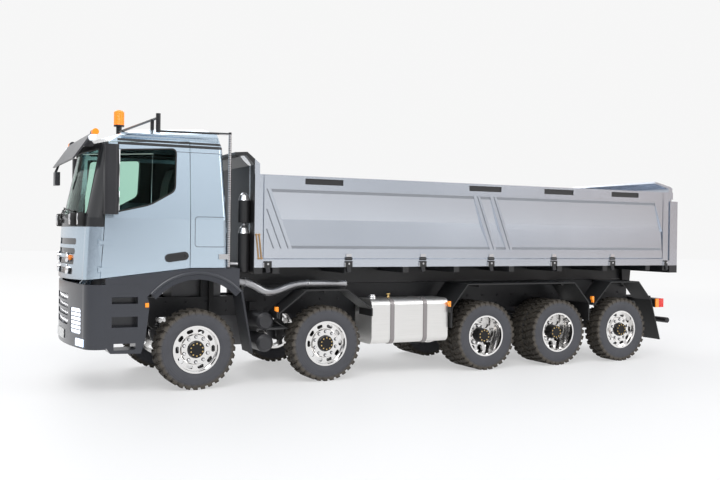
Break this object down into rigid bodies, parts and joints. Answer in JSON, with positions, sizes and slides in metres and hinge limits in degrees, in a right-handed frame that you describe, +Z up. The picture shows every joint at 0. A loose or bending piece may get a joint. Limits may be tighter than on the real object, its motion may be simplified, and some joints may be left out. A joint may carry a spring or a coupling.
{
  "type": "model five-axle tipper truck",
  "caption": "Radio-control scale model of a tipper truck: tilting cab with doors, tipping bed with drop sides and swinging tailgate, steered and driven axles.",
  "frame": {"origin": "on the floor under the middle of the truck's length and width", "axes": "+X towards the front of the truck, +Y to its left, +Z up"},
  "size_m": [0.744, 0.202, 0.286],
  "materials": {
    "tyre": "matt rubber",
    "rim": "polished",
    "steel": "satin",
    "frame_paint": "satin black",
    "cab_paint": "metallic",
    "bed_paint": "metallic",
    "dark_plastic": "satin",
    "glass": "clear",
    "lamp": "clear lens",
    "seat": "woven",
    "visor": "smoked",
    "tank": "brushed",
    "pipe": "satin"
  },
  "bodies": {
    "chassis": {"chassis_frame": "frame_paint", "tipper_subframe": "frame_paint", "axles": "frame_paint", "leaf_springs": "frame_paint", "drive_line": "steel", "side_tanks": "tank", "exhaust_pipe": "pipe", "air_tanks": "frame_paint", "mudguards": "dark_plastic", "bumper_steps": "dark_plastic", "chassis_lamps": "lamp"},
    "cab": {"cab_shell": "cab_paint", "windscreen": "glass", "sun_visor": "visor", "cab_interior": "seat", "roof_bar": "frame_paint"},
    "door_left": {"door_left": "cab_paint", "door_glass_left": "glass", "mirror_left": "dark_plastic"},
    "door_right": {"door_right": "cab_paint", "door_glass_right": "glass", "mirror_right": "dark_plastic"},
    "bed": {"bed_body": "bed_paint"},
    "side_board_left": {"side_board_left": "bed_paint"},
    "side_board_right": {"side_board_right": "bed_paint"},
    "tailgate": {"tailgate": "bed_paint"},
    "lift_barrel": {"lift_barrel": "frame_paint"},
    "lift_stage_1": {"lift_stage_1": "steel"},
    "lift_stage_2": {"lift_stage_2": "steel"},
    "lift_stage_3": {"lift_stage_3": "steel"},
    "lift_stage_4": {"lift_stage_4": "steel"},
    "wheel_1_left": {"tyre_1_left": "tyre", "rim_1_left": "rim"},
    "knuckle_1_left": {"knuckle_1_left": "steel"},
    "tie_rod_1": {"tie_rod_1": "steel"},
    "wheel_1_right": {"tyre_1_right": "tyre", "rim_1_right": "rim"},
    "knuckle_1_right": {"knuckle_1_right": "steel"},
    "wheel_2_left": {"tyre_2_left": "tyre", "rim_2_left": "rim"},
    "knuckle_2_left": {"knuckle_2_left": "steel"},
    "tie_rod_2": {"tie_rod_2": "steel"},
    "wheel_2_right": {"tyre_2_right": "tyre", "rim_2_right": "rim"},
    "knuckle_2_right": {"knuckle_2_right": "steel"},
    "wheel_3_left": {"tyre_3_left": "tyre", "rim_3_left": "rim"},
    "wheel_3_right": {"tyre_3_right": "tyre", "rim_3_right": "rim"},
    "wheel_4_left": {"tyre_4_left": "tyre", "rim_4_left": "rim"},
    "wheel_4_right": {"tyre_4_right": "tyre", "rim_4_right": "rim"},
    "wheel_5_left": {"tyre_5_left": "tyre", "rim_5_left": "rim"},
    "knuckle_5_left": {"knuckle_5_left": "steel"},
    "tie_rod_5": {"tie_rod_5": "steel"},
    "wheel_5_right": {"tyre_5_right": "tyre", "rim_5_right": "rim"},
    "knuckle_5_right": {"knuckle_5_right": "steel"}
  },
  "joints": [
    {"name": "cab_tilt", "type": "hinge", "parent": "chassis", "child": "cab", "pos_m": [0.361, 0, 0.085], "axis": [0, 1, 0], "range_deg": [0, 50]},
    {"name": "door_left_hinge", "type": "hinge", "parent": "cab", "child": "door_left", "pos_m": [0.3494, 0.0852, 0.18], "axis": [0, 0, -1], "range_deg": [0, 65]},
    {"name": "door_right_hinge", "type": "hinge", "parent": "cab", "child": "door_right", "pos_m": [0.3494, -0.0852, 0.18], "axis": [0, 0, 1], "range_deg": [0, 65]},
    {"name": "bed_tip", "type": "hinge", "parent": "chassis", "child": "bed", "pos_m": [-0.337, 0, 0.094], "axis": [0, -1, 0], "range_deg": [0, 45]},
    {"name": "side_board_left_hinge", "type": "hinge", "parent": "bed", "child": "side_board_left", "pos_m": [-0.078, 0.088, 0.127], "axis": [-1, 0, 0], "range_deg": [0, 90]},
    {"name": "side_board_right_hinge", "type": "hinge", "parent": "bed", "child": "side_board_right", "pos_m": [-0.078, -0.088, 0.127], "axis": [1, 0, 0], "range_deg": [0, 90]},
    {"name": "tailgate_swing", "type": "hinge", "parent": "bed", "child": "tailgate", "pos_m": [-0.3605, 0, 0.207], "axis": [0, 1, 0], "range_deg": [0, 60]},
    {"name": "lift_barrel_pivot", "type": "hinge", "parent": "chassis", "child": "lift_barrel", "pos_m": [-0.038, 0, 0.062], "axis": [0, -1, 0], "range_deg": [0, 23]},
    {"name": "lift_stage_1_slide", "type": "slide", "parent": "lift_barrel", "child": "lift_stage_1", "axis": [0, 0, 1], "range_m": [0, 0.05676]},
    {"name": "lift_stage_2_slide", "type": "slide", "parent": "lift_stage_1", "child": "lift_stage_2", "axis": [0, 0, 1], "range_m": [0, 0.05676]},
    {"name": "lift_stage_3_slide", "type": "slide", "parent": "lift_stage_2", "child": "lift_stage_3", "axis": [0, 0, 1], "range_m": [0, 0.05676]},
    {"name": "lift_stage_4_slide", "type": "slide", "parent": "lift_stage_3", "child": "lift_stage_4", "axis": [0, 0, 1], "range_m": [0, 0.05676]},
    {"name": "steer_1_left", "type": "hinge", "parent": "chassis", "child": "knuckle_1_left", "pos_m": [0.257, 0.054, 0.039], "axis": [0, 0, 1], "range_deg": [-32, 32]},
    {"name": "spin_1_left", "type": "hinge", "parent": "knuckle_1_left", "child": "wheel_1_left", "pos_m": [0.257, 0.075, 0.039], "axis": [0, 1, 0], "continuous": true},
    {"name": "tie_rod_1_pivot", "type": "hinge", "parent": "knuckle_1_left", "child": "tie_rod_1", "pos_m": [0.24, 0.054, 0.039], "axis": [0, 0, 1], "range_deg": [-32, 32]},
    {"name": "steer_1_right", "type": "hinge", "parent": "chassis", "child": "knuckle_1_right", "pos_m": [0.257, -0.054, 0.039], "axis": [0, 0, 1], "range_deg": [-32, 32]},
    {"name": "spin_1_right", "type": "hinge", "parent": "knuckle_1_right", "child": "wheel_1_right", "pos_m": [0.257, -0.075, 0.039], "axis": [0, 1, 0], "continuous": true},
    {"name": "steer_2_left", "type": "hinge", "parent": "chassis", "child": "knuckle_2_left", "pos_m": [0.1195, 0.054, 0.039], "axis": [0, 0, 1], "range_deg": [-20.8, 20.8]},
    {"name": "spin_2_left", "type": "hinge", "parent": "knuckle_2_left", "child": "wheel_2_left", "pos_m": [0.1195, 0.075, 0.039], "axis": [0, 1, 0], "continuous": true},
    {"name": "tie_rod_2_pivot", "type": "hinge", "parent": "knuckle_2_left", "child": "tie_rod_2", "pos_m": [0.1025, 0.054, 0.039], "axis": [0, 0, 1], "range_deg": [-20.8, 20.8]},
    {"name": "steer_2_right", "type": "hinge", "parent": "chassis", "child": "knuckle_2_right", "pos_m": [0.1195, -0.054, 0.039], "axis": [0, 0, 1], "range_deg": [-20.8, 20.8]},
    {"name": "spin_2_right", "type": "hinge", "parent": "knuckle_2_right", "child": "wheel_2_right", "pos_m": [0.1195, -0.075, 0.039], "axis": [0, 1, 0], "continuous": true},
    {"name": "spin_3_left", "type": "hinge", "parent": "chassis", "child": "wheel_3_left", "pos_m": [-0.08, 0.064, 0.039], "axis": [0, 1, 0], "continuous": true},
    {"name": "spin_3_right", "type": "hinge", "parent": "chassis", "child": "wheel_3_right", "pos_m": [-0.08, -0.064, 0.039], "axis": [0, 1, 0], "continuous": true},
    {"name": "spin_4_left", "type": "hinge", "parent": "chassis", "child": "wheel_4_left", "pos_m": [-0.1835, 0.064, 0.039], "axis": [0, 1, 0], "continuous": true},
    {"name": "spin_4_right", "type": "hinge", "parent": "chassis", "child": "wheel_4_right", "pos_m": [-0.1835, -0.064, 0.039], "axis": [0, 1, 0], "continuous": true},
    {"name": "steer_5_left", "type": "hinge", "parent": "chassis", "child": "knuckle_5_left", "pos_m": [-0.2815, 0.054, 0.039], "axis": [0, 0, 1], "range_deg": [-16, 16]},
    {"name": "spin_5_left", "type": "hinge", "parent": "knuckle_5_left", "child": "wheel_5_left", "pos_m": [-0.2815, 0.075, 0.039], "axis": [0, 1, 0], "continuous": true},
    {"name": "tie_rod_5_pivot", "type": "hinge", "parent": "knuckle_5_left", "child": "tie_rod_5", "pos_m": [-0.2985, 0.054, 0.039], "axis": [0, 0, 1], "range_deg": [-16, 16]},
    {"name": "steer_5_right", "type": "hinge", "parent": "chassis", "child": "knuckle_5_right", "pos_m": [-0.2815, -0.054, 0.039], "axis": [0, 0, 1], "range_deg": [-16, 16]},
    {"name": "spin_5_right", "type": "hinge", "parent": "knuckle_5_right", "child": "wheel_5_right", "pos_m": [-0.2815, -0.075, 0.039], "axis": [0, 1, 0], "continuous": true}
  ],
  "couplings": [
    {"joint": "lift_barrel_pivot", "follows": "bed_tip", "ratio": 0.46768},
    {"joint": "lift_stage_1_slide", "follows": "bed_tip", "m_per_rad": 0.071757},
    {"joint": "lift_stage_2_slide", "follows": "bed_tip", "m_per_rad": 0.071757},
    {"joint": "lift_stage_3_slide", "follows": "bed_tip", "m_per_rad": 0.071757},
    {"joint": "lift_stage_4_slide", "follows": "bed_tip", "m_per_rad": 0.071757},
    {"joint": "tie_rod_1_pivot", "follows": "steer_1_left", "ratio": -1},
    {"joint": "steer_1_right", "follows": "steer_1_left", "ratio": 1},
    {"joint": "steer_2_left", "follows": "steer_1_left", "ratio": 0.65},
    {"joint": "tie_rod_2_pivot", "follows": "steer_1_left", "ratio": -0.65},
    {"joint": "steer_2_right", "follows": "steer_1_left", "ratio": 0.65},
    {"joint": "steer_5_left", "follows": "steer_1_left", "ratio": -0.5},
    {"joint": "tie_rod_5_pivot", "follows": "steer_1_left", "ratio": 0.5},
    {"joint": "steer_5_right", "follows": "steer_1_left", "ratio": -0.5}
  ]
}
